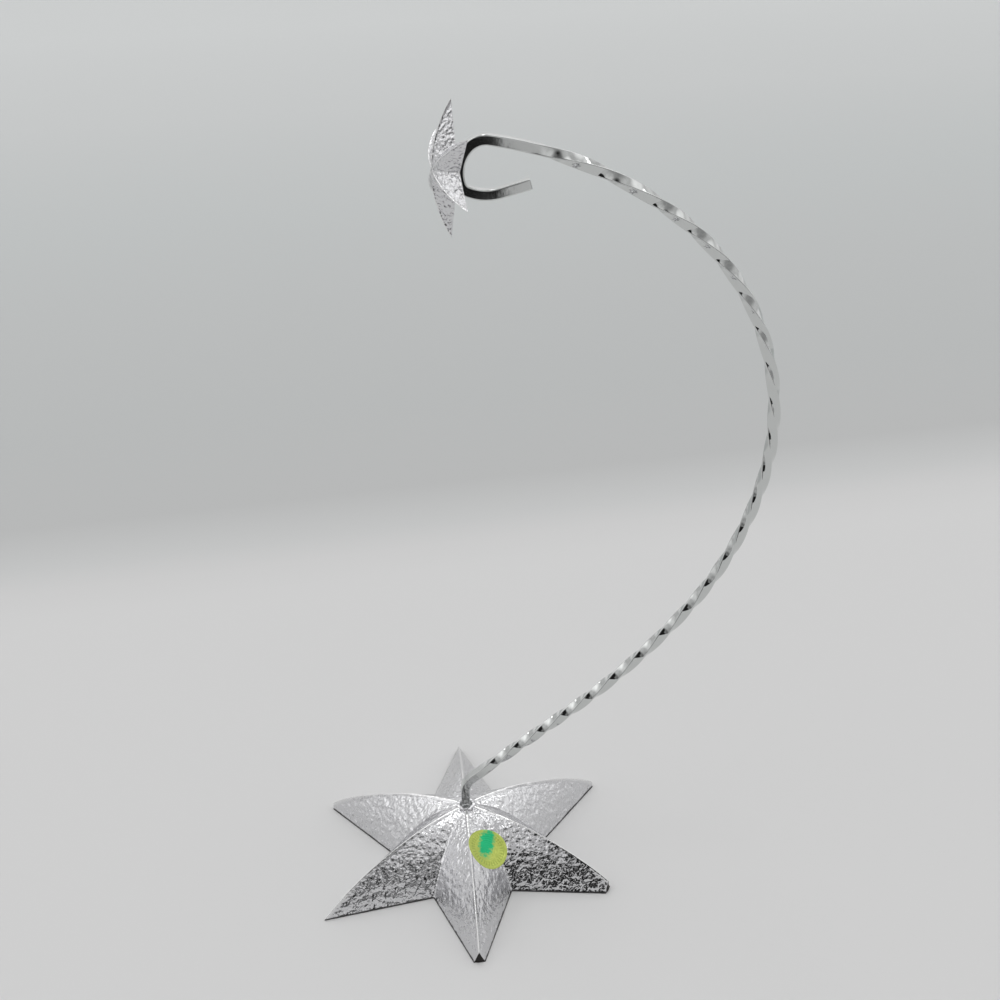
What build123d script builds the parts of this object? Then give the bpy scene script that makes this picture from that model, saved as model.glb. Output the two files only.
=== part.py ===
from build123d import *
from math import asin, ceil, cos, degrees, hypot, radians, sin, sqrt, tan
import os

os.makedirs("parts", exist_ok=True)

# Ornament stand, in millimetres. A square bar, twisted and bent into a crook with a hook at
# its end, rises from a hollow six-armed star, and a smaller star sits on the hook's back.
# The origin is the base star's centre on the table, X runs to the crook's belly, Z is up.

# The bar
bar_side = 4.0
bar_edge = 0.35  # flat along its four edges
foot_corner_z = 39.1  # where the upright foot and the sloping run would meet
foot_bend = 8.0  # radius of the centreline between them
run_slope = 36.3  # degrees above level
run_length = 61.3  # from that corner to the first arc
crook_arcs = [(279.5, 15.0), (145.1, 26.0), (111.4, 63.7), (157.1, 28.4)]  # radius, degrees
hook_arcs = [(9.0, 61.0), (13.3, 56.9), (3.9, 48.2), (19.4, 38.3)]  # radius, degrees
hook_tail = 11.2

# The twist: quarter turns and millimetres for each one, stretch by stretch up the bar
twist_start = 14.0  # from the foot's corner
twist_stretches = [(4.5, 13.5), (4.0, 15.4), (6.0, 14.8), (6.5, 16.8), (2.0, 24.0)]
twist_ease = 4.0  # half the length over which the twist starts, changes and ends
twist_step = 15.0  # degrees of turn from one section to the next

# The base star
base_reach = 77.5  # centre to where an arm's two lower edges would meet
base_notch = 35.7  # centre to the corner between two arms
base_rise = 26.7
base_crown = 18.3  # radius over which a flank bends away from the peak
crown_turn = 40.0  # degrees of that bend, in both stars
base_wall = 1.2
base_blunt = [3.1, 4.4, 3.6, 0.7, 7.1, 7.1]  # what each tip lacks of the reach, from 30 degrees on

# The hub, where the bar is riveted to the base star
land_diameter = 8.8
land_height = 0.4  # above the star's peak
hub_length = 6.0
socket_depth = 1.4
spigot_diameter = 3.0
hub_fit = 0.1  # play around the bar and its spigot
rivet_diameter = 5.4
rivet_height = 1.3
rivet_taper = 20.0

# The small star on the hook
top_reach = 24.7
top_notch = 11.2
top_rise = 7.6
top_crown = 6.0
top_wall = 1.0
top_blunt = 0.4
top_turn = 12.4  # degrees that its face is turned to the front
top_tilt = 4.0  # degrees that its face looks up
top_roll = 5.1  # degrees that it is turned about its own middle
top_stand_off = 0.5  # from the bar's back to the plane of its rim
top_lift = 1.7  # its centre above the hook's backmost point
stud_diameter = 5.0
stud_lap = 0.8  # how far the stud reaches round the bar's back

# The round foil label, a thin bent sheet across the valley beside the base star's front arm
label_diameter = 19.0
label_thickness = 0.25
label_bend = 25.0  # radius of its hollow side
label_x = 7.5
label_y = -24.4
label_lift = 1.43  # its middle above the star
label_compass = 319.0  # degrees from +X that its face looks towards
label_slope = 58.5  # degrees above level that its face looks
label_spin = -18.0  # degrees that its fold is turned
label_gap = 0.05  # least distance to the star


# One arm points along +X. Each flank has one profile, drawn along the arm's lower edge: a tight
# crown that starts level at the peak, then a wide arc that falls to the edge.
# A skin above zero gives the same form that much inside, below zero outside.
def star_arm(reach, notch, rise, crown, blunt, skin):
    notch_x, notch_y = notch * cos(radians(30)), notch * sin(radians(30))
    edge = hypot(reach - notch_x, notch_y)
    flank = reach * notch_y / edge  # centre to lower edge, square to it
    turn = radians(crown_turn)
    left, drop = flank - crown * sin(turn), rise - crown * (1 - cos(turn))
    chord = hypot(left, drop)
    fall = chord**2 / (2 * (drop * cos(turn) - left * sin(turn)))  # the wide arc's radius
    fall_turn = 2 * degrees(asin(chord / (2 * fall)))
    length = reach - blunt - skin
    with BuildPart() as arm:
        with BuildSketch(Plane.XY):
            with BuildLine():
                half = length * tan(radians(30))
                Polyline((0, 0), (length, -half), (length, half), close=True)
            make_face()
        extrude(amount=rise - skin)
        for side in (1, -1):
            out = Vector(notch_y / edge, side * (reach - notch_x) / edge)
            profile = Plane(origin=(0, 0, 0), x_dir=out, z_dir=out.cross(Vector(0, 0, 1)))
            with BuildSketch(profile):
                with BuildLine():
                    start = JernArc((0, rise - skin), (1, 0), crown - skin, -crown_turn)
                    end = JernArc(start @ 1, start % 1, fall - skin, -fall_turn)
                    Polyline(end @ 1, (-reach, (end @ 1).Y), (-reach, rise - skin), start @ 0)
                make_face()
            extrude(amount=reach, both=True, mode=Mode.INTERSECT)
    return arm.part


def star_form(reach, notch, rise, crown, blunts, skin=0.0):
    with BuildPart() as star:
        for place, blunt in enumerate(blunts):
            with Locations(Rotation(0, 0, 30 + 60 * place)):
                add(star_arm(reach, notch, rise, crown, blunt, skin))
    return star.part


# The bar's centreline as (radius, degrees of turn) or (0, length), from the foot's corner
centreline = [(0, run_length)] + crook_arcs + hook_arcs + [(0, hook_tail)]
whole_length = sum(radians(amount) * radius if radius else amount for radius, amount in centreline)


# Centreline pieces between two distances from the foot's corner: start x, z, heading,
# length and radius of each, in the plane of the crook
def pieces_between(first, last):
    x, z, heading, travelled = 0.0, foot_corner_z, run_slope, 0.0
    found = []
    for radius, amount in centreline:
        length = radius * radians(amount) if radius else amount
        low, high = max(first, travelled), min(last, travelled + length)
        if high > low:
            found.append((*step_along(x, z, heading, radius, low - travelled), high - low, radius))
        x, z, heading = step_along(x, z, heading, radius, length)
        travelled += length
    return found


def step_along(x, z, heading, radius, distance):
    if not radius:
        return x + distance * cos(radians(heading)), z + distance * sin(radians(heading)), heading
    turned = heading + degrees(distance / radius)
    x += radius * (sin(radians(turned)) - sin(radians(heading)))
    z -= radius * (cos(radians(turned)) - cos(radians(heading)))
    return x, z, turned


# Place and heading at a distance from the foot's corner
def spot(distance):
    return pieces_between(distance, whole_length)[0][:3]


# Where the centreline runs in the given direction
def spot_facing(wanted):
    for x, z, heading, length, radius in pieces_between(0, whole_length):
        if radius and heading <= wanted <= heading + degrees(length / radius):
            return step_along(x, z, heading, radius, radius * radians(wanted - heading))[:2]


def draw_pieces(pieces):
    for x, z, heading, length, radius in pieces:
        way = (cos(radians(heading)), sin(radians(heading)))
        if radius:
            JernArc((x, z), way, radius, degrees(length / radius))
        else:
            PolarLine((x, z), length, heading)


# The bar's section: a square whose corners are taken off a little
def bar_section():
    with BuildSketch() as section:
        Rectangle(bar_side, bar_side)
        chamfer(section.vertices(), bar_edge / sqrt(2))
    return section.sketch


# The section's plane, turned about the centreline by the twist
def section_plane(x, z, heading, twist=0.0):
    up, turn = radians(heading), radians(twist)
    across = Vector(-cos(turn) * sin(up), sin(turn), cos(turn) * cos(up))
    return Plane(origin=(x, 0, z), x_dir=across, z_dir=(cos(up), 0, sin(up)))


def plain_twist(distance):
    left, twist = distance - twist_start, 0.0
    for quarters, pitch in twist_stretches:
        here = min(max(left, 0), quarters * pitch)
        twist += 90 * here / pitch
        left -= quarters * pitch
    return twist


def eased_twist(distance):
    around = [twist_ease * share / 4 for share in range(-4, 5)]
    return sum(plain_twist(distance + offset) for offset in around) / len(around)


# Direction with a compass angle from +X and a slope above level, in degrees
def looking(compass, slope):
    level = cos(radians(slope))
    return Vector(cos(radians(compass)) * level, sin(radians(compass)) * level, sin(radians(slope)))


# Plane that faces a direction, with its X axis level and then turned about that direction
def facing_plane(origin, compass, slope, spin):
    out, level = looking(compass, slope), looking(compass + 90, 0)
    x_dir = level * cos(radians(spin)) + out.cross(level) * sin(radians(spin))
    return Plane(origin=origin, x_dir=x_dir, z_dir=out)


hub_top = base_rise + land_height
hub_foot = hub_top - hub_length
seat_z = hub_top - socket_depth
bar_diagonal = hypot(bar_side, bar_side - 2 * bar_edge)
bend_run = foot_bend * tan(radians(90 - run_slope) / 2)
quarter_turns = sum(quarters for quarters, _ in twist_stretches)
twist_length = sum(quarters * pitch for quarters, pitch in twist_stretches)
twist_first = twist_start - twist_ease
twist_last = twist_start + twist_length + twist_ease
sections = ceil(90 * quarter_turns / twist_step)

back_x, back_z = spot_facing(270)
top_plane = facing_plane(
    (back_x - bar_side / 2 - top_stand_off, 0, back_z + top_lift), 180 + top_turn, top_tilt, top_roll
)

base_sizes = (base_reach, base_notch, base_rise, base_crown, base_blunt)
top_sizes = (top_reach, top_notch, top_rise, top_crown, [top_blunt] * 6)
base_form = star_form(*base_sizes)

label_foot = base_form.find_intersection_points(Axis((label_x, label_y, 0), (0, 0, 1)))
label_z = max(point.Z for point, _ in label_foot) + label_lift
label_plane = facing_plane((label_x, label_y, label_z), label_compass, label_slope, label_spin)
fold_plane = Plane(
    origin=label_plane.origin,
    x_dir=label_plane.x_dir,
    z_dir=label_plane.x_dir.cross(label_plane.z_dir),
)

# The hook's plain length, past the twist
with BuildPart() as plain_hook:
    with BuildLine(Plane.XZ) as hook_line:
        draw_pieces(pieces_between(twist_last, whole_length))
    with BuildSketch(section_plane(*spot(twist_last))):
        add(bar_section())
    sweep(path=hook_line.wires()[0])

# Hook bar: riveted spigot, upright foot, twisted crook and plain hook, all one bar
with BuildPart() as hook_bar:
    with BuildSketch(Plane.XY.offset(hub_foot)):
        Circle(rivet_diameter / 2)
    extrude(amount=-rivet_height, taper=rivet_taper)
    with BuildSketch(Plane.XY.offset(hub_foot)):
        Circle(spigot_diameter / 2)
    extrude(amount=seat_z - hub_foot)
    with BuildLine(Plane.XZ) as foot_line:
        upright = Line((0, seat_z), (0, foot_corner_z - bend_run))
        JernArc(upright @ 1, upright % 1, foot_bend, run_slope - 90)
        draw_pieces(pieces_between(bend_run, twist_first))
    with BuildSketch(Plane.XY.offset(seat_z)):
        add(bar_section())
    sweep(path=foot_line.wires()[0])
    add(plain_hook.part)
    for count in range(sections + 1):
        distance = twist_first + (twist_last - twist_first) * count / sections
        with BuildSketch(section_plane(*spot(distance), eased_twist(distance))):
            add(bar_section())
    loft()

# Base star: a pressed shell, open underneath, with a thick hub for the bar
with BuildPart() as base_star:
    add(base_form)
    add(star_form(*base_sizes, base_wall), mode=Mode.SUBTRACT)
    with BuildSketch(Plane.XY.offset(hub_foot)):
        Circle(land_diameter / 2)
    extrude(amount=hub_length)
    with Locations((0, 0, hub_top)):
        CounterBoreHole(
            spigot_diameter / 2 + hub_fit, bar_diagonal / 2 + hub_fit, socket_depth, hub_length
        )

# Top star: the same form, turned to the front, with a stud that cups the hook's back
with BuildPart() as top_star:
    with Locations(top_plane):
        add(star_form(*top_sizes))
        add(star_form(*top_sizes, top_wall), mode=Mode.SUBTRACT)
    with BuildSketch(top_plane.offset(-top_stand_off - stud_lap)):
        Circle(stud_diameter / 2)
    extrude(amount=top_stand_off + stud_lap + top_rise - top_wall / 2)
    add(plain_hook.part, mode=Mode.SUBTRACT)

# Foil label: a round piece of sheet with one gentle fold, kept clear of the star's flanks
with BuildPart() as foil_label:
    with BuildSketch(fold_plane):
        with Locations((0, label_bend)):
            Circle(label_bend)
            Circle(label_bend - label_thickness, mode=Mode.SUBTRACT)
    extrude(amount=label_diameter, both=True)
    with BuildSketch(label_plane.offset(-label_thickness)):
        Circle(label_diameter / 2)
    extrude(amount=label_bend, mode=Mode.INTERSECT)
    add(star_form(*base_sizes, -label_gap), mode=Mode.SUBTRACT)

hook_bar.part.label = "hook_bar"
export_step(hook_bar.part, "parts/hook_bar.step")
base_star.part.label = "base_star"
export_step(base_star.part, "parts/base_star.step")
top_star.part.label = "top_star"
export_step(top_star.part, "parts/top_star.step")
foil_label.part.label = "foil_label"
export_step(foil_label.part, "parts/foil_label.step")
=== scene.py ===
import bmesh
import bpy
import numpy as np
from mathutils import Matrix, Vector


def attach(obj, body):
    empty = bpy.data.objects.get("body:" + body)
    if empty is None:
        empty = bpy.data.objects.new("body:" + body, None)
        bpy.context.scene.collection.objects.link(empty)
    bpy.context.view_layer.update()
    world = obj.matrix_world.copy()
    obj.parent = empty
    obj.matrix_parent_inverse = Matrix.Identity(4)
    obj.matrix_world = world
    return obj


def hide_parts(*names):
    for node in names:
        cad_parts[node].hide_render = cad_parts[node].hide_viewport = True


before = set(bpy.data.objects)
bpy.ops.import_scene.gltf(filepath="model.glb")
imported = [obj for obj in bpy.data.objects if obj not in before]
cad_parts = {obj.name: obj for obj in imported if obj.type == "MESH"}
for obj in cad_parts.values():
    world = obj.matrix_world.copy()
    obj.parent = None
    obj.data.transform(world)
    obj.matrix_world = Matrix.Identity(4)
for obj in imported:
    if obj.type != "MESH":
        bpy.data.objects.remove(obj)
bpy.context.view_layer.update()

# Ornament stand: a twisted plated bar on a hammered star, with a small star on its hook.
# Its pieces are worked out in millimetres and become metres in makeMesh.
mm = 0.001


# sRGB hex to the linear colour that shaders want
def toLinear(hexCode):
    parts = np.array([int(hexCode[i:i + 2], 16) for i in (1, 3, 5)]) / 255
    curved = np.where(parts <= 0.04045, parts / 12.92, ((parts + 0.055) / 1.055) ** 2.4)
    return (*curved, 1.0)


# Adds a node, sets its properties, and sets or links its inputs. A Mix node of colours takes its
# two colours at 6 and 7 and gives its result at outputs[2].
def addNode(tree, kind, inputs=None, **settings):
    node = tree.nodes.new(kind)
    for name, value in settings.items():
        setattr(node, name, value)
    for name, value in (inputs or {}).items():
        socket = node.inputs[name]
        if isinstance(value, bpy.types.NodeSocket):
            tree.links.new(value, socket)
        else:
            socket.default_value = value
    return node


noiseRange = {"From Min": 0.3, "From Max": 0.7}  # the values that a noise node mostly gives


# An empty material and its node tree
def newMaterial(name):
    material = bpy.data.materials.new(name)
    material.use_nodes = True
    material.node_tree.nodes.clear()
    return material, material.node_tree


# Points in millimetres and faces to a mesh object. Doubled points are merged and the faces are
# turned outwards; flatUv gives each point its place on a flat sheet.
def makeMesh(name, points, faces, material, merge=0.002, flatUv=None):
    mesh = bpy.data.meshes.new(name)
    mesh.from_pydata((np.asarray(points) * mm).tolist(), [], np.asarray(faces).tolist())
    if flatUv is not None:
        layer = mesh.uv_layers.new(name="flat")
        corner = np.empty(len(mesh.loops), np.int32)
        mesh.loops.foreach_get("vertex_index", corner)
        layer.data.foreach_set("uv", flatUv[corner].astype(np.float32).ravel())
    work = bmesh.new()
    work.from_mesh(mesh)
    bmesh.ops.remove_doubles(work, verts=work.verts, dist=merge * mm)
    bmesh.ops.dissolve_degenerate(work, edges=work.edges, dist=merge * mm * 0.5)
    bmesh.ops.recalc_face_normals(work, faces=work.faces)
    work.to_mesh(mesh)
    work.free()
    mesh.polygons.foreach_set("use_smooth", np.ones(len(mesh.polygons), bool))
    piece = bpy.data.objects.new(name, mesh)
    bpy.context.scene.collection.objects.link(piece)
    piece.data.materials.append(material)
    return piece


# Quads of a grid whose points run row by row; wrap joins the last column to the first
def gridFaces(rows, columns, wrap=False):
    across = columns if wrap else columns - 1
    r, c = np.meshgrid(np.arange(rows - 1), np.arange(across), indexing="ij")
    nextC = (c + 1) % columns
    quads = np.stack([r * columns + c, r * columns + nextC,
                      (r + 1) * columns + nextC, (r + 1) * columns + c], -1)
    return quads.reshape(-1, 4)


# Joins several (points, faces) sheets into one
def joined(sheets):
    points, faces, count = [], [], 0
    for sheetPoints, sheetFaces in sheets:
        points.append(np.asarray(sheetPoints).reshape(-1, 3))
        faces.append(np.asarray(sheetFaces) + count)
        count += len(points[-1])
    return np.concatenate(points), np.concatenate(faces)


# A profile of (radius, height) turned about the Z axis
def lathe(profile, steps=64):
    profile = np.array(profile, float)
    angle = np.linspace(0, 2 * np.pi, steps, endpoint=False)
    points = np.stack([profile[:, :1] * np.cos(angle), profile[:, :1] * np.sin(angle),
                       np.repeat(profile[:, 1:], steps, 1)], -1)
    return points.reshape(-1, 3), gridFaces(len(profile), steps, wrap=True)


# Points turned and moved by a placing matrix
def placed(points, stand):
    return points @ np.array(stand.to_3x3()).T + np.array(stand.translation)


# Value noise: random values on a lattice, blended smoothly between its corners, from 0 to 1
def softNoise(points, size, seed=0.0):
    scaled = points / size + seed
    cell = np.floor(scaled)
    part = scaled - cell
    part = part * part * (3 - 2 * part)
    total = np.zeros(len(points))
    for corner in np.ndindex(2, 2, 2):
        weight = np.prod(np.where(np.array(corner), part, 1 - part), axis=1)
        total += weight * scatter(cell + corner)[:, 0]
    return total


# Three random numbers from 0 to 1 for each lattice cell: the fraction of a large sine
def scatter(cell):
    mixed = cell @ np.array([[127.1, 269.5, 113.5], [311.7, 183.3, 271.9], [74.7, 246.1, 124.6]])
    return np.modf(np.abs(np.sin(mixed)) * 43758.5453)[0]


# Pebbles: distance to the nearest of points scattered one to a cell, 0 on a pebble, about 1 between
def pebbles(points, size, seed=0.0):
    scaled = points / size + seed
    cell = np.floor(scaled)
    nearest = np.full(len(points), 9.0)
    for step in np.ndindex(3, 3, 3):
        other = cell + step - 1
        nearest = np.minimum(nearest, np.sum((other + scatter(other) - scaled) ** 2, axis=1))
    return np.sqrt(nearest)


# What a hammered plate's face looks like: lumps three millimetres wide with creases between them
hammered = {
    "lump": 3.0,          # width of the lumps
    "lumpDepth": 0.42,
    "crease": 1.6,        # width of the smaller ones on them
    "creaseDepth": 0.20,
    "sway": 8.0,          # long unevenness of the plate
    "swayDepth": 0.12,
    "rim": 0.9,           # height over which the lower edge rounds inwards
    "rimDepth": 0.3,
    "ridge": 1.0,         # beside a ridge the relief fades away, which keeps the ridge crisp
    "ridgeStart": 0.2,    # ridge widths from the ridge at which the relief begins to grow
    "ridgeLeast": 0.1,    # share of the relief that is left on a ridge
    "stray": 0.9,         # how far the lumps' outlines wander
    "straySize": 1.6,
}
hammeredSmall = dict(hammered, lump=1.3, lumpDepth=0.3, crease=0.9, creaseDepth=0.14,
                     sway=4.0, swayDepth=0.08, rim=0.5, rimDepth=0.15, ridge=0.4)


# Depth below the plain face, always inwards: broad sway, lumps and creases added up, the last
# two at points that are moved about by noise. The last number of each call is its seed.
def hammeredDepth(points, look):
    stray = np.stack([softNoise(points, look["straySize"], 3.1 + i) for i in range(3)], -1)
    bent = points + look["stray"] * stray
    sway = softNoise(points, look["sway"], 7.7)
    lumps = pebbles(bent, look["lump"], 1.3)
    creases = pebbles(bent, look["crease"], 5.9)
    return look["swayDepth"] * sway + look["lumpDepth"] * lumps + look["creaseDepth"] * creases


# The two stars, as the frame has them. Reach and notch are measured from the centre, crown is the
# radius of a flank's upper arc and crownTurn its degrees, and blunt is what each tip lacks.
baseStar = {
    "reach": 77.5, "notch": 35.7, "rise": 26.7, "crown": 18.3, "crownTurn": 40.0, "wall": 1.2,
    "blunt": [3.1, 4.4, 3.6, 0.7, 7.1, 7.1],
    "rows": 96, "columns": 78, "insideRows": 9, "hole": 2.9, "ridgeRounds": 1, "face": hammered,
}
topStar = {
    "reach": 24.7, "notch": 11.2, "rise": 7.6, "crown": 6.0, "crownTurn": 40.0, "wall": 1.0,
    "blunt": [0.4] * 6,
    "rows": 80, "columns": 66, "insideRows": 7, "hole": 0.0, "ridgeRounds": 1,
    "face": hammeredSmall,
    "turn": 12.4, "tilt": 4.0, "roll": 5.1,  # degrees to the front, up, and about its middle
    "standOff": 0.5, "lift": 1.7,            # off the bar's back, and above its backmost point
}
tolerance = 0.05  # a point this near to a star's plain face, in height, is on it


# The corner between two arms, and the way from the centre square to a lower edge: the reach times
# the corner's y over the edge's length
def armSizes(star):
    notchX, notchY = star["notch"] * np.cos(np.pi / 6), star["notch"] * 0.5
    edge = np.hypot(star["reach"] - notchX, notchY)
    return notchX, notchY, star["reach"] * notchY / edge


# Height of a flank over the way from the centre: a tight crown arc, then a wide arc that is
# tangent to it and ends at the lower edge. A skin makes both radii that much smaller.
def flankHeight(star, way, skin=0.0):
    flank, turn = armSizes(star)[2], np.radians(star["crownTurn"])
    crown = star["crown"]
    left, drop = flank - crown * np.sin(turn), star["rise"] - crown * (1 - np.cos(turn))
    fall = (left**2 + drop**2) / (2 * (drop * np.cos(turn) - left * np.sin(turn)))
    x = (crown - fall) * np.sin(turn)
    z = star["rise"] - crown + (crown - fall) * np.cos(turn)
    onCrown = star["rise"] - crown + np.sqrt(np.maximum((crown - skin) ** 2 - way**2, 0))
    onFall = z + np.sqrt(np.maximum((fall - skin) ** 2 - (way - x) ** 2, 0))
    last = x + np.sqrt((fall - skin) ** 2 - z**2)
    return np.where(way < (crown - skin) * np.sin(turn), onCrown, onFall), last


# Half an arm along +X. k is the share of the way from the centre to the lower edge, w the share
# from the notch to the ridge: the place is k * (notch + w * (tip - notch)), and w stops where
# the tip is cut off.
def halfArm(star, k, w, blunt, skin):
    notchX, notchY, flank = armSizes(star)
    k = k[:, None] * flankHeight(star, 0.0, skin)[1] / flank
    limit = ((star["reach"] - blunt) / np.maximum(k, 1e-6) - notchX) / (star["reach"] - notchX)
    w = w[None, :] * np.clip(limit, 0, 1)
    x = k * (notchX + w * (star["reach"] - notchX))
    y = k * notchY * (1 - w)
    z = flankHeight(star, k * flank, skin)[0] + 0 * x
    return np.stack([x, y, np.maximum(z, 0)], -1)


# Outer and inner sheets of a whole star, the rim between them, and the cut ends of its tips.
# A half arm is mirrored and turned to each of the six directions, and a cut end is closed by the
# strip from its edge to the plane through the middle of the arm.
def starSheets(star):
    centre = 0.02  # the sheets start a little way out from the middle
    k, w = np.linspace(centre, 1, star["rows"]), np.linspace(0, 1, star["columns"])
    kInner = np.linspace(centre, 1, star["insideRows"])
    sheets = []
    for place, blunt in enumerate(star["blunt"]):
        turn = np.radians(30 + 60 * place)
        ahead = np.array([np.cos(turn), np.sin(turn), 0])
        for side in (1, -1):
            spin = np.array([ahead, [-np.sin(turn), np.cos(turn), 0], [0, 0, 1]])
            spin = np.diag([1, side, 1]) @ spin
            outer = halfArm(star, k, w, blunt, 0.0) @ spin
            inner = halfArm(star, kInner, w, blunt + star["wall"], star["wall"]) @ spin
            rim = np.stack([outer[-1], inner[-1]])
            sheets += [(grid, gridFaces(*grid.shape[:2])) for grid in (outer, inner, rim)]
            for grid in (outer, inner):
                cut = grid[:, -1] @ ahead > (grid[:, -1] @ ahead).max() - 0.001
                edge = grid[cut, -1]
                middle = (edge @ ahead)[:, None] * ahead + edge * [0, 0, 1]
                if len(edge) > 1:
                    sheets.append((np.stack([edge, middle], 1), gridFaces(len(edge), 2)))
    return sheets


# Rounds the ridges: each point moves halfway to the mean of its neighbours, a few times over
def roundRidges(mesh, points, free, rounds):
    edges = np.empty(len(mesh.edges) * 2, np.int32)
    mesh.edges.foreach_get("vertices", edges)
    a, b = edges.reshape(-1, 2).T
    count = np.bincount(edges, minlength=len(points))[:, None]
    for _ in range(rounds):
        total = np.stack([np.bincount(a, points[b, i], len(points)) +
                          np.bincount(b, points[a, i], len(points)) for i in range(3)], -1)
        points = np.where(free[:, None], (points + total / count) / 2, points)
    return points


# A star's mesh. Its ridges are rounded, then each point of the outer face moves inwards along its
# normal by the hammered depth, which fades beside the ridges and the lower edge. A point's angle
# from the nearest ridge and its way from the centre tell which face it is on.
def makeStar(name, star, material, stand=None):
    points, faces = joined(starSheets(star))
    if star["hole"]:  # the hub's socket goes through the middle
        away = np.hypot(points[:, 0], points[:, 1])
        points[:, :2] *= (np.maximum(away, star["hole"]) / np.maximum(away, 1e-3))[:, None]
    piece = makeMesh(name, points, faces, material, merge=0.02)
    mesh = piece.data
    mesh.materials.append(tipMaterial)
    facing = np.empty(len(mesh.polygons) * 3)
    mesh.polygons.foreach_get("normal", facing)
    cutEnds = np.abs(facing.reshape(-1, 3)[:, 2]) < 0.02  # only the cut ends stand upright
    mesh.polygons.foreach_set("material_index", cutEnds.astype(np.int32))
    place = np.empty(len(mesh.vertices) * 3)
    normal = np.empty(len(mesh.vertices) * 3)
    mesh.vertices.foreach_get("co", place)
    place = place.reshape(-1, 3) / mm
    notchX, notchY, flank = armSizes(star)
    compass = np.degrees(np.arctan2(place[:, 1], place[:, 0])) + 360
    offRidge = np.radians(np.abs(compass % 60 - 30))
    away = np.hypot(place[:, 0], place[:, 1])
    way = away * (np.cos(offRidge) + np.sin(offRidge) * (star["reach"] - notchX) / notchY)
    plain = flankHeight(star, way * flank / star["reach"])[0]
    outer = np.abs(place[:, 2] - plain) < tolerance
    free = outer & (place[:, 2] > 0.02) & (away > star["hole"] + tolerance)
    place = roundRidges(mesh, place, free, star["ridgeRounds"])
    mesh.vertices.foreach_set("co", (place * mm).ravel())
    mesh.update()
    mesh.vertex_normals.foreach_get("vector", normal)
    look = star["face"]
    fade = np.clip(place[:, 2] / look["rim"], 0, 1) * free
    offCrest = away * np.sin(offRidge) / look["ridge"]
    fade *= np.clip(offCrest - look["ridgeStart"], look["ridgeLeast"], 1)
    crest = outer * np.clip(1 - offCrest, 0, 1)  # the plating is smoother there, and its colour is lightened there as a painted highlight
    crestLayer = mesh.attributes.new("crest", "FLOAT", "POINT")
    crestLayer.data.foreach_set("value", crest.astype(np.float32))
    rim = look["rimDepth"] * outer * np.clip(1 - place[:, 2] / look["rim"], 0, 1) ** 2
    depth = hammeredDepth(place, look) * fade + rim
    place -= normal.reshape(-1, 3) * depth[:, None]
    place[:, 2] = np.maximum(place[:, 2], 0)
    print(name, "faces", len(mesh.polygons), "on cut ends", int(cutEnds.sum()))
    if stand is not None:
        place = placed(place, stand)
    mesh.vertices.foreach_set("co", (place * mm).ravel())
    mesh.update()
    return piece


# The bar, as the frame has it: runs and arcs of its centreline, and the twist along it
bar = {
    "side": 4.0, "corner": 0.45, "endRound": 0.35,
    "seat": 25.7,          # height of its lower end
    "cornerHeight": 39.1,  # where the upright foot and the sloping run would meet
    "footBend": 8.0, "slope": 36.3, "run": 61.3,
    "arcs": [(279.5, 15.0), (145.1, 26.0), (111.4, 63.7), (157.1, 28.4),  # radius and degrees
             (9.0, 61.0), (13.3, 56.9), (3.9, 48.2), (19.4, 38.3)],
    "tail": 11.2,
    "twistStart": 14.0,    # from that corner
    # quarter turns, and the length of each
    "twist": [(4.5, 13.5), (4.0, 15.4), (6.0, 14.8), (6.5, 16.8), (2.0, 24.0)],
    "ease": 4.0,           # half the length over which the twist changes
    "step": 0.45,          # from one section to the next
}


# The runs (0, length) and arcs (radius, degrees) from the foot to the tail, and what the foot's
# bend takes from the runs beside it: its radius by the tangent of half its turn
def barPieces():
    bendRun = bar["footBend"] * np.tan(np.radians(90 - bar["slope"]) / 2)
    upright = bar["cornerHeight"] - bendRun - bar["seat"]
    return ([(0, upright), (-bar["footBend"], bar["slope"] - 90), (0, bar["run"] - bendRun)]
            + bar["arcs"] + [(0, bar["tail"])]), bendRun


# Place and heading at distances along runs and tangent arcs: on an arc the heading turns by
# distance / radius and the place follows the circle
def centreAt(distance):
    x, z, heading, gone = 0.0, bar["seat"], np.pi / 2, 0.0
    atX, atZ, atHeading = (np.zeros_like(distance) for _ in range(3))
    for radius, amount in barPieces()[0]:
        length = radius * np.radians(amount) if radius else amount
        here = distance >= gone
        reached = stepOn(x, z, heading, radius, distance - gone)
        for store, value in zip((atX, atZ, atHeading), reached):
            store[here] = value[here]
        x, z, heading = (float(v) for v in stepOn(x, z, heading, radius, np.array(length)))
        gone += length
    return atX, atZ, atHeading, gone


# The place and heading that a way along one run or arc leads to
def stepOn(x, z, heading, radius, way):
    if not radius:
        return x + way * np.cos(heading), z + way * np.sin(heading), heading + 0 * way
    turned = heading + way / radius
    return (x + radius * (np.sin(turned) - np.sin(heading)),
            z - radius * (np.cos(turned) - np.cos(heading)), turned)


# Twist in degrees: quarter turns counted up stretch by stretch, averaged over the easing length
def twistAt(distance):
    total, samples = np.zeros_like(distance), 9
    for offset in np.linspace(-bar["ease"], bar["ease"], samples):
        left = distance + offset - bar["twistStart"]
        for quarters, pitch in bar["twist"]:
            total += 90 / samples * np.clip(left, 0, quarters * pitch) / pitch
            left = left - quarters * pitch
    return total


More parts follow.
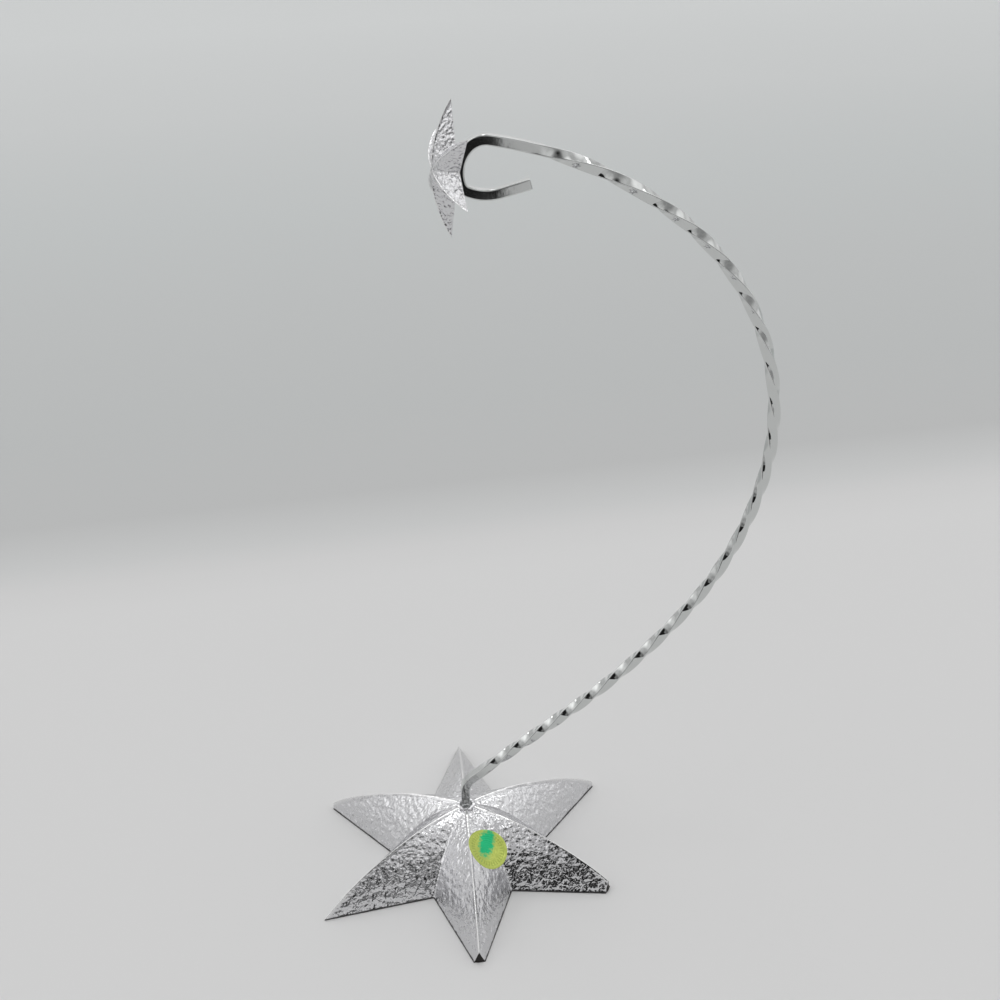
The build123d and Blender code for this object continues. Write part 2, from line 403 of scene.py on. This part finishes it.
# A square with round corners, as offsets from its middle
def roundedSquare(side, corner):
    half, flat = side / 2, side / 2 - corner
    alongSide = np.array([-0.9, -0.5, 0.0, 0.5, 0.9]) * flat
    bend = np.linspace(0, np.pi / 2, 6)
    straight = np.stack([np.full(5, half), alongSide], -1)
    curved = np.stack([flat + corner * np.cos(bend), flat + corner * np.sin(bend)], -1)
    quarter = np.concatenate([straight, curved])
    turns = [np.array([[c, s], [-s, c]]) for c, s in ((1, 0), (0, 1), (-1, 0), (0, -1))]
    return np.concatenate([quarter @ turn for turn in turns])


# The bar's face: its square section carried along the centreline and turned by the twist, then
# drawn in to a rounded end
def barSheet():
    total = centreAt(np.zeros(1))[3]
    pieces, bendRun = barPieces()
    toCorner = pieces[0][1] + bar["footBend"] * np.radians(90 - bar["slope"]) - bendRun
    along = np.linspace(0, total - bar["endRound"], int(total / bar["step"]))
    ones = np.ones(len(along))
    bend = np.linspace(0, np.pi / 2, 5)[1:]
    rounding = total - bar["endRound"] * (1 - np.sin(bend))
    shrink = bar["endRound"] * (1 - np.cos(bend)) / (bar["side"] / 2)
    along = np.concatenate([[0, 0], along, rounding, [total] * 3])  # both ends are closed
    scale = np.concatenate([[0, 0.6], ones, 1 - shrink, [0.6, 0.3, 0]])
    x, z, heading, _ = centreAt(along)
    twist = np.radians(twistAt(along - toCorner))
    up = np.stack([-np.sin(heading), 0 * heading, np.cos(heading)], -1)
    level = np.array([0.0, 1.0, 0.0])
    across = np.cos(twist)[:, None] * up + np.sin(twist)[:, None] * level
    aside = -np.sin(twist)[:, None] * up + np.cos(twist)[:, None] * level
    outline = roundedSquare(bar["side"], bar["corner"])
    offset = (outline[None, :, :1] * across[:, None] + outline[None, :, 1:] * aside[:, None])
    points = np.stack([x, 0 * x, z], -1)[:, None] + offset * scale[:, None, None]
    return points.reshape(-1, 3), gridFaces(len(along), len(outline), wrap=True)


# The label: a round sheet with one gentle fold, laid across the valley beside the front arm
label = {
    "radius": 9.5, "thickness": 0.25, "bend": 25.0,
    "x": 7.5, "y": -24.4, "z": 20.2, "compass": 319.0, "slope": 58.5, "spin": -18.0,
    "edgeRound": 0.1, "edgeFlat": 0.08,
}


# Axes that face a compass direction and a slope: level, upwards, outwards, turned by the spin
def facing(compass, slope, spin):
    compass, slope, spin = np.radians([compass, slope, spin])
    flat = np.cos(slope)
    out = np.array([np.cos(compass) * flat, np.sin(compass) * flat, np.sin(slope)])
    level = np.array([-np.sin(compass), np.cos(compass), 0])
    rise = np.cross(out, level)
    across = level * np.cos(spin) + rise * np.sin(spin)
    return across, np.cross(out, across), out


# A flat disc's place a, b and height h go to the cylinder of the fold: a becomes an angle about
# a line one bend radius above the middle
def labelSheet():
    radius, thickness, low = label["radius"], label["thickness"], label["edgeFlat"]
    face = radius - label["edgeRound"]
    rows = [(share * face, thickness) for share in np.linspace(0, 1, 22)]
    rows += [(radius, thickness - low), (radius, low)]
    rows += [(share * face, 0) for share in np.linspace(1, 0, 8)]
    flat, faces = lathe(rows, 96)
    across, along, out = facing(label["compass"], label["slope"], label["spin"])
    turn = flat[:, :1] / label["bend"]
    reach = label["bend"] - flat[:, 2:]
    middle = np.array([label["x"], label["y"], label["z"]])
    points = (middle + reach * np.sin(turn) * across + flat[:, 1:2] * along
              + (label["bend"] - reach * np.cos(turn)) * out)
    return points, faces, 0.5 + flat[:, :2] / (2 * radius)


# Hammered nickel plate: a pressed sheet with a lumpy face, plated bright but not mirror-smooth.
# It gives broken reflections, pale on the sloping flanks and dark where it faces the room. Sizes
# are in millimetres; a grain or speck is half a period of its pattern.
hammeredPlate = {
    # The crest colour is a painted highlight that lightens the ridges.
    "colour": "#DADADC", "crestHighlightColour": "#EEEEEE",
    "contactShadeColour": "#4A4848", "edge": 0.45,  # painted contact shade along the lower edge, and how high it reaches
    "roughness": 0.08, "roughnessPatches": 0.06, "patch": 7.0,
    "grain": 1.3, "grainHeight": 0.6, "speck": 0.7, "speckHeight": 0.2,
    "crestSmooth": 0.9,  # how much of the fine relief is rubbed off a ridge
}
hammeredSmallPlate = dict(hammeredPlate, colour="#DCDCDE", roughness=0.05,
                          grain=0.65, grainHeight=0.5, speck=0.6, speckHeight=0.3)


# The specks' bump lies on the grain's, both weaker where the face is a crest. The colour is
# lightened by the crest's share, a painted highlight along the ridges, and darkened near the table,
# a painted contact shade along the lower edge.
def makeHammeredPlate(name, look):
    material, tree = newMaterial(name)
    place = addNode(tree, "ShaderNodeTexCoord").outputs["Object"]
    split = addNode(tree, "ShaderNodeSeparateXYZ", {"Vector": place})
    # painted contact shade: the colour goes dark within a hair of the table
    edge = addNode(tree, "ShaderNodeMapRange", {
        "Value": split.outputs["Z"],
        "From Min": look["edge"] * mm, "From Max": look["edge"] * 2 * mm,
        "To Min": 1.0, "To Max": 0.0})
    crest = addNode(tree, "ShaderNodeAttribute", attribute_name="crest").outputs["Fac"]
    # painted highlight: the colour goes lighter towards the ridges
    crestHighlighted = addNode(tree, "ShaderNodeMix", {
        "Factor": crest, 6: toLinear(look["colour"]), 7: toLinear(look["crestHighlightColour"])},
        data_type="RGBA")
    relief = addNode(tree, "ShaderNodeMath", {0: crest, 1: -look["crestSmooth"], 2: 1.0},
                     operation="MULTIPLY_ADD")
    colour = addNode(tree, "ShaderNodeMix", {
        "Factor": edge.outputs["Result"], 6: crestHighlighted.outputs[2], 7: toLinear(look["contactShadeColour"])},
        data_type="RGBA")
    grain = addNode(tree, "ShaderNodeTexNoise", {
        "Vector": place, "Scale": 1 / (look["grain"] * 2 * mm), "Detail": 2.0, "Roughness": 0.55})
    speck = addNode(tree, "ShaderNodeTexVoronoi", {
        "Vector": place, "Scale": 1 / (look["speck"] * 2 * mm)}, feature="SMOOTH_F1")
    first = addNode(tree, "ShaderNodeBump", {
        "Height": grain.outputs["Fac"], "Distance": look["grainHeight"] * mm,
        "Strength": relief.outputs["Value"]})
    second = addNode(tree, "ShaderNodeBump", {
        "Height": speck.outputs["Distance"], "Distance": look["speckHeight"] * mm,
        "Strength": relief.outputs["Value"], "Normal": first.outputs["Normal"]})
    patches = addNode(tree, "ShaderNodeTexNoise", {
        "Vector": place, "Scale": 1 / (look["patch"] * mm), "Detail": 3.0})
    rough = addNode(tree, "ShaderNodeMapRange", {
        "Value": patches.outputs["Fac"], **noiseRange,
        "To Min": look["roughness"], "To Max": look["roughness"] + look["roughnessPatches"]})
    surface = addNode(tree, "ShaderNodeBsdfPrincipled", {
        "Base Color": colour.outputs[2], "Metallic": 1.0, "Roughness": rough.outputs["Result"],
        "Normal": second.outputs["Normal"]})
    addNode(tree, "ShaderNodeOutputMaterial", {"Surface": surface.outputs["BSDF"]})
    return material


# Where a tip is cut off, its end is coloured dark grey and dull
darkTip = {"colour": "#3A3837", "roughness": 0.5, "grit": 0.6, "gritHeight": 0.2}


# One bump of noise for the grit of the break
def makeDarkTip():
    look = darkTip
    material, tree = newMaterial("dark tip ends")
    place = addNode(tree, "ShaderNodeTexCoord").outputs["Object"]
    grit = addNode(tree, "ShaderNodeTexNoise", {
        "Vector": place, "Scale": 1 / (look["grit"] * mm), "Detail": 3.0})
    bump = addNode(tree, "ShaderNodeBump", {
        "Height": grit.outputs["Fac"], "Distance": look["gritHeight"] * mm})
    surface = addNode(tree, "ShaderNodeBsdfPrincipled", {
        "Base Color": toLinear(look["colour"]), "Metallic": 1.0, "Roughness": look["roughness"],
        "Normal": bump.outputs["Normal"]})
    addNode(tree, "ShaderNodeOutputMaterial", {"Surface": surface.outputs["BSDF"]})
    return material


# Bright nickel-plated square bar: drawn steel polished and plated, with faint waves along it
# that bend its reflections a little
platedBar = {
    "colour": "#D2D4D3", "roughness": 0.03, "roughnessPatches": 0.03,
    "wave": 5.0, "waveHeight": 0.025, "grain": 0.8, "grainHeight": 0.003,
}


# The grain's bump lies on the waves', and the roughness rises with the waves
def makePlatedBar():
    look = platedBar
    material, tree = newMaterial("nickel-plated bar")
    place = addNode(tree, "ShaderNodeTexCoord").outputs["Object"]
    wave = addNode(tree, "ShaderNodeTexNoise", {
        "Vector": place, "Scale": 1 / (look["wave"] * 2 * mm), "Detail": 1.0})
    grain = addNode(tree, "ShaderNodeTexNoise", {
        "Vector": place, "Scale": 1 / (look["grain"] * 2 * mm), "Detail": 3.0})
    first = addNode(tree, "ShaderNodeBump", {
        "Height": wave.outputs["Fac"], "Distance": look["waveHeight"] * mm, "Strength": 1.0})
    second = addNode(tree, "ShaderNodeBump", {
        "Height": grain.outputs["Fac"], "Distance": look["grainHeight"] * mm, "Strength": 1.0,
        "Normal": first.outputs["Normal"]})
    rough = addNode(tree, "ShaderNodeMapRange", {
        "Value": wave.outputs["Fac"], **noiseRange,
        "To Min": look["roughness"], "To Max": look["roughness"] + look["roughnessPatches"]})
    surface = addNode(tree, "ShaderNodeBsdfPrincipled", {
        "Base Color": toLinear(look["colour"]), "Metallic": 1.0,
        "Roughness": rough.outputs["Result"], "Normal": second.outputs["Normal"]})
    addNode(tree, "ShaderNodeOutputMaterial", {"Surface": surface.outputs["BSDF"]})
    return material


# Rainbow foil film: embossed fine rings on a metallised film, yellow-green with an emerald flash,
# which is the foil's shimmer painted into its colour at a fixed place.
# Places and sizes on it are shares of the label's width.
foilFilm = {
    "ground": "#D2DC74", "shade": "#9DB04C", "shades": 13.0,  # shades to the width
    "flash": "#1DBB7C", "flashPlace": (0.57, 0.64, 0.0), "flashTurn": 45.0,
    "flashSize": (0.40, 0.19, 1.0), "flashUneven": 1.3, "flashStart": 1.8, "flashFull": 1.35,
    "tick": "#A0AE50", "ticks": 34, "tickPlace": 0.37, "tickHalf": 0.05,
    "rings": 9.0, "ringHeight": 0.06, "ringStrength": 0.6, "metallic": 0.55, "roughness": 0.3,
}


# The rings are the sine of the distance from the middle, the ticks the sine of the angle inside
# a narrow band, and the flash an oval whose distance is made uneven by the shades
def makeFoilFilm():
    look = foilFilm
    material, tree = newMaterial("rainbow foil film")
    flat = addNode(tree, "ShaderNodeTexCoord").outputs["UV"]
    centred = addNode(tree, "ShaderNodeVectorMath", {0: flat, 1: (0.5, 0.5, 0.0)},
                      operation="SUBTRACT")
    away = addNode(tree, "ShaderNodeVectorMath", {0: centred.outputs["Vector"]},
                   operation="LENGTH")
    rings = addNode(tree, "ShaderNodeMath", {
        0: away.outputs["Value"], 1: look["rings"] * 4 * np.pi}, operation="MULTIPLY")
    wave = addNode(tree, "ShaderNodeMath", {0: rings.outputs["Value"]}, operation="SINE")
    mottle = addNode(tree, "ShaderNodeTexNoise", {
        "Vector": flat, "Scale": look["shades"], "Detail": 3.0})
    ground = addNode(tree, "ShaderNodeMix", {
        "Factor": mottle.outputs["Fac"], 6: toLinear(look["ground"]), 7: toLinear(look["shade"])},
        data_type="RGBA")
    spokes = addNode(tree, "ShaderNodeTexGradient", {"Vector": centred.outputs["Vector"]},
                     gradient_type="RADIAL")
    spoke = addNode(tree, "ShaderNodeMath", {
        0: spokes.outputs["Fac"], 1: look["ticks"] * 2 * np.pi}, operation="MULTIPLY")
    tick = addNode(tree, "ShaderNodeMath", {0: spoke.outputs["Value"]}, operation="SINE")
    band = addNode(tree, "ShaderNodeMath", {
        0: away.outputs["Value"], 1: look["tickPlace"], 2: look["tickHalf"]}, operation="COMPARE")
    ticked = addNode(tree, "ShaderNodeMath", {
        0: tick.outputs["Value"], 1: band.outputs["Value"]}, operation="MULTIPLY", use_clamp=True)
    marked = addNode(tree, "ShaderNodeMix", {
        "Factor": ticked.outputs["Value"], 6: ground.outputs[2], 7: toLinear(look["tick"])},
        data_type="RGBA")
    spot = addNode(tree, "ShaderNodeMapping", {
        "Vector": flat, "Location": look["flashPlace"], "Scale": look["flashSize"],
        "Rotation": (0.0, 0.0, float(np.radians(look["flashTurn"])))}, vector_type="TEXTURE")
    reach = addNode(tree, "ShaderNodeVectorMath", {0: spot.outputs["Vector"]}, operation="LENGTH")
    uneven = addNode(tree, "ShaderNodeMath", {
        0: mottle.outputs["Fac"], 1: look["flashUneven"], 2: reach.outputs["Value"]},
        operation="MULTIPLY_ADD")
    core = addNode(tree, "ShaderNodeMapRange", {
        "Value": uneven.outputs["Value"],
        "From Min": look["flashStart"], "From Max": look["flashFull"],
        "To Min": 0.0, "To Max": 1.0})
    # painted reflection: the emerald flash is mixed into the colour
    flashed = addNode(tree, "ShaderNodeMix", {
        "Factor": core.outputs["Result"], 6: marked.outputs[2], 7: toLinear(look["flash"])},
        data_type="RGBA")
    bump = addNode(tree, "ShaderNodeBump", {
        "Height": wave.outputs["Value"], "Distance": look["ringHeight"] * mm,
        "Strength": look["ringStrength"]})
    surface = addNode(tree, "ShaderNodeBsdfPrincipled", {
        "Base Color": flashed.outputs[2], "Metallic": look["metallic"],
        "Roughness": look["roughness"], "Normal": bump.outputs["Normal"]})
    addNode(tree, "ShaderNodeOutputMaterial", {"Surface": surface.outputs["BSDF"]})
    return material


plateMaterial = makeHammeredPlate("hammered nickel plate", hammeredPlate)
smallPlateMaterial = makeHammeredPlate("finely hammered nickel plate", hammeredSmallPlate)
barMaterial, tipMaterial, foilMaterial = makePlatedBar(), makeDarkTip(), makeFoilFilm()
print("materials made")

# Base star with its hub, the thick middle that holds the bar: heights above the table, and radii
baseShell = makeStar("baseStarShell", baseStar, plateMaterial)
hub = {
    "top": 27.1, "floor": 25.7, "foot": 21.1,
    "radius": 4.4, "socket": 2.66, "bore": 1.6, "edge": 0.14,
}
hubProfile = [
    (hub["bore"], hub["foot"]), (hub["radius"], hub["foot"]),
    (hub["radius"], hub["top"] - hub["edge"]), (hub["radius"] - hub["edge"], hub["top"]),
    (hub["socket"] + hub["edge"], hub["top"]), (hub["socket"], hub["top"] - hub["edge"]),
    (hub["socket"], hub["floor"]), (hub["bore"], hub["floor"]), (hub["bore"], hub["foot"]),
]
baseHub = makeMesh("baseStarHub", *lathe(hubProfile), plateMaterial)
print("base star made")

# Bar, and the spigot and rivet head under its foot
twistedBar = makeMesh("twistedBar", *barSheet(), barMaterial, merge=0.001)
rivet = {
    "top": 25.75, "seat": 21.1, "low": 19.8,
    "spigot": 1.5, "head": 2.7, "headFoot": 2.23, "edge": 0.1,
}
rivetProfile = [
    (0, rivet["top"]), (rivet["spigot"], rivet["top"]), (rivet["spigot"], rivet["seat"]),
    (rivet["head"], rivet["seat"]), (rivet["head"] * 0.97, rivet["seat"] - 3 * rivet["edge"]),
    (rivet["headFoot"], rivet["low"] + rivet["edge"]),
    (rivet["headFoot"] - 1.5 * rivet["edge"], rivet["low"]), (0, rivet["low"]),
]
barRivet = makeMesh("barRivet", *lathe(rivetProfile, 48), barMaterial)
print("bar made")

# Top star on the hook's back, the bar's point with the least x between these distances along it.
# The star's rim stands off from there, and a stud joins the two.
hookBack = np.linspace(380, 470, 3000)
backX, backZ = centreAt(hookBack)[:2]
back = int(np.argmin(backX))
across, along, out = facing(180 + topStar["turn"], topStar["tilt"], topStar["roll"])
middle = np.array([backX[back] - bar["side"] / 2 - topStar["standOff"], 0,
                   backZ[back] + topStar["lift"]])
stand = Matrix([[across[i], along[i], out[i], middle[i]] for i in range(3)] + [[0, 0, 0, 1]])
topShell = makeStar("topStarShell", topStar, smallPlateMaterial, stand)
stud = {"radius": 2.5, "low": -1.3, "top": 6.7}
studPoints, studFaces = lathe([(0, stud["low"]), (stud["radius"], stud["low"]),
                               (stud["radius"], stud["top"]), (0, stud["top"])], 48)
topStud = makeMesh("topStarStud", placed(studPoints, stand), studFaces, barMaterial)
print("top star made")

labelPoints, labelFaces, labelUv = labelSheet()
labelDisc = makeMesh("labelDisc", labelPoints, labelFaces, foilMaterial, flatUv=labelUv)
labelDisc.visible_glossy = False  # so that the bar's bend doesn't mirror its green
print("label made")

for piece, node, slot in (
    (baseShell, "base_star", "star_shell"), (baseHub, "base_star", "star_shell"),
    (twistedBar, "hook_bar", "twisted_bar"), (barRivet, "hook_bar", "twisted_bar"),
    (topShell, "top_star", "small_star"), (topStud, "top_star", "small_star"),
    (labelDisc, "foil_label", "label_foil"),
):
    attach(piece, "root")
    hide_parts(node)

# Floor: a flat pale sheet of paper whose grey changes with the distance behind the stand, all in
# metres: painted shade for the light falling off along a curved paper sweep. The slant is how much
# further back each grey lies for a metre to the right.
floorLook = {
    "size": 12.0, "front": -0.8, "rampLength": 4.0, "slant": 0.10,
    "below": 0.00005,  # the floor lies this much under the stand
    "greys": [(0.0, "#D9D9D9"), (0.26, "#D9D9D9"), (0.30, "#D5D5D5"), (0.33, "#CDCECE"),
              (0.39, "#C1C2C2"), (0.55, "#C1C3C3"), (0.81, "#C4C6C6"), (1.22, "#C8CBCB"),
              (1.94, "#D0D2D2"), (3.1, "#D6D8D8")],
}


# A point's place on the ramp of greys is y less the slant times x, over the ramp's length
def makeFloor():
    half, front, low = floorLook["size"] / 2, floorLook["front"], -floorLook["below"]
    mesh = bpy.data.meshes.new("floor")
    corners = [(-half, front, low), (half, front, low), (half, half, low), (-half, half, low)]
    mesh.from_pydata(corners, [], [(0, 1, 2, 3)])
    material, tree = newMaterial("paper floor with painted sweep shade")
    place = addNode(tree, "ShaderNodeTexCoord").outputs["Object"]
    length = floorLook["rampLength"]
    back = (-floorLook["slant"] / length, 1 / length, 0.0)
    share = addNode(tree, "ShaderNodeVectorMath", {0: place, 1: back}, operation="DOT_PRODUCT")
    ramp = addNode(tree, "ShaderNodeValToRGB", {"Fac": share.outputs["Value"]})
    elements = ramp.color_ramp.elements
    elements.remove(elements[1])
    for count, (distance, grey) in enumerate(floorLook["greys"]):
        element = elements[0] if count == 0 else elements.new(distance / length)
        element.position = distance / length
        element.color = toLinear(grey)
    surface = addNode(tree, "ShaderNodeBsdfPrincipled", {
        "Base Color": ramp.outputs["Color"], "Roughness": 0.9, "Specular IOR Level": 0.0})
    addNode(tree, "ShaderNodeOutputMaterial", {"Surface": surface.outputs["BSDF"]})
    mesh.materials.append(material)
    floor = bpy.data.objects.new("floor", mesh)
    bpy.context.scene.collection.objects.link(floor)


makeFloor()

# Room light: an even pale room with soft shades in it, and patches. A patch is its compass angle
# from the front towards the right, its height, half-width and soft edge in degrees, and the light
# that it adds.
roomLook = {
    "even": 0.58, "darkest": 0.015,
    "shades": 3.0, "shadeDepth": 0.4,  # shades to a radian, and their share of the even light
    "behindAll": "#CFD0D0",  # what the camera sees past the floor
    "patches": [
        (0, 90, 3, 1, 8.0),  # lamp overhead
        # three rows of small lamps behind
        *((180, height, 4, 2, 2.5) for height in (52, 60, 68, 76, 84)),
        *((side * compass, height, 4, 2, 2.0) for side in (-1, 1)
          for compass, height in ((170, 45), (158, 48), (146, 48), (134, 46), (122, 42))),
        # pale panels on the right, on the left and behind
        (90, 72, 8, 4, 1.2), (30, 55, 9, 4, 0.5),
        (92, 38, 16, 8, 0.5), (115, 0, 16, 8, 0.26), (130, 24, 12, 8, 0.2), (130, 54, 8, 5, 0.4),
        (-90, 28, 17, 10, 0.2), (-75, 52, 20, 10, 0.6),
        (-172, 5, 24, 10, 0.22),
        # the dark side of the room, in front
        (-12, 17, 13, 7, -0.66), (-28, 3, 13, 7, -0.34), (-12, -12, 16.4, 0.5, -1.0),
        (14, 29, 13, 6, -0.45), (13, 2, 9, 5, 0.15),
        (40, 2, 22, 10, -0.28), (-55, -6, 16, 8, -0.16),
    ],
}


# The even light with each patch added to it, smoothed over the angle from the patch's direction.
# It lights the pieces and shows in them, while the camera sees one plain colour.
def makeRoom():
    world = bpy.data.worlds.new("room")
    bpy.context.scene.world = world
    world.use_nodes = True
    tree = world.node_tree
    tree.nodes.clear()
    direction = addNode(tree, "ShaderNodeTexCoord").outputs["Generated"]
    shades = addNode(tree, "ShaderNodeTexNoise", {
        "Vector": direction, "Scale": roomLook["shades"], "Detail": 4.0, "Roughness": 0.6})
    level = addNode(tree, "ShaderNodeMapRange", {
        "Value": shades.outputs["Fac"], **noiseRange,
        "To Min": roomLook["even"] * (1 - roomLook["shadeDepth"] / 2),
        "To Max": roomLook["even"] * (1 + roomLook["shadeDepth"] / 2)}).outputs["Result"]
    for compass, height, width, soft, strength in roomLook["patches"]:
        compass, height = np.radians([compass, height])
        flat = np.cos(height)
        towards = (float(np.sin(compass) * flat), float(-np.cos(compass) * flat),
                   float(np.sin(height)))
        dot = addNode(tree, "ShaderNodeVectorMath", {0: direction, 1: towards},
                      operation="DOT_PRODUCT")
        edge = addNode(tree, "ShaderNodeMapRange", {
            "Value": dot.outputs["Value"],
            "From Min": float(np.cos(np.radians(width + soft))),
            "From Max": float(np.cos(np.radians(width - soft))),
            "To Min": 0.0, "To Max": strength}, interpolation_type="SMOOTHSTEP")
        level = addNode(tree, "ShaderNodeMath", {0: level, 1: edge.outputs["Result"]}).outputs[0]
    level = addNode(tree, "ShaderNodeMath", {0: level, 1: roomLook["darkest"]},
                    operation="MAXIMUM").outputs[0]
    light = addNode(tree, "ShaderNodeBackground", {"Color": (1, 1, 1, 1), "Strength": level})
    plain = addNode(tree, "ShaderNodeBackground", {
        "Color": toLinear(roomLook["behindAll"]), "Strength": 1.0})
    seen = addNode(tree, "ShaderNodeLightPath").outputs["Is Camera Ray"]
    mixed = addNode(tree, "ShaderNodeMixShader", {
        0: seen, 1: light.outputs[0], 2: plain.outputs[0]})
    addNode(tree, "ShaderNodeOutputWorld", {"Surface": mixed.outputs[0]})


makeRoom()
print("floor and room made")

# The camera, where the photograph was taken from: millimetres, degrees, and pixels of its frame
cameraLook = {
    "place": (-13.611, -470.918, 425.072),
    "yaw": 4.1405565, "pitch": 27.133903, "roll": -2.09592798,
    "focalPixels": 1298.0657, "middle": (499.0, 500.0), "pixels": 1000, "sensor": 36.0,
}


# The roll turns right and up about the view, and the pixels become the lens and the small shift
def makeCamera():
    look = cameraLook
    yaw, pitch, roll = np.radians([look["yaw"], look["pitch"], look["roll"]])
    forward = np.array([np.sin(yaw) * np.cos(pitch), np.cos(yaw) * np.cos(pitch), -np.sin(pitch)])
    right = np.array([np.cos(yaw), -np.sin(yaw), 0.0])
    up = np.cross(right, forward)
    right, up = np.cos(roll) * right + np.sin(roll) * up, -np.sin(roll) * right + np.cos(roll) * up
    data = bpy.data.cameras.new("camera")
    data.sensor_width = look["sensor"]
    data.lens = look["focalPixels"] / look["pixels"] * look["sensor"]
    data.shift_x = (look["pixels"] / 2 - look["middle"][0]) / look["pixels"]
    data.shift_y = (look["middle"][1] - look["pixels"] / 2) / look["pixels"]
    data.clip_start = 0.01
    camera = bpy.data.objects.new("camera", data)
    bpy.context.scene.collection.objects.link(camera)
    place = Vector(look["place"]) * mm
    rows = [[right[i], up[i], -forward[i], place[i]] for i in range(3)] + [[0, 0, 0, 1]]
    camera.matrix_world = Matrix(rows)
    bpy.context.scene.camera = camera


makeCamera()
bpy.context.scene.view_settings.view_transform = "Standard"
print("camera made")
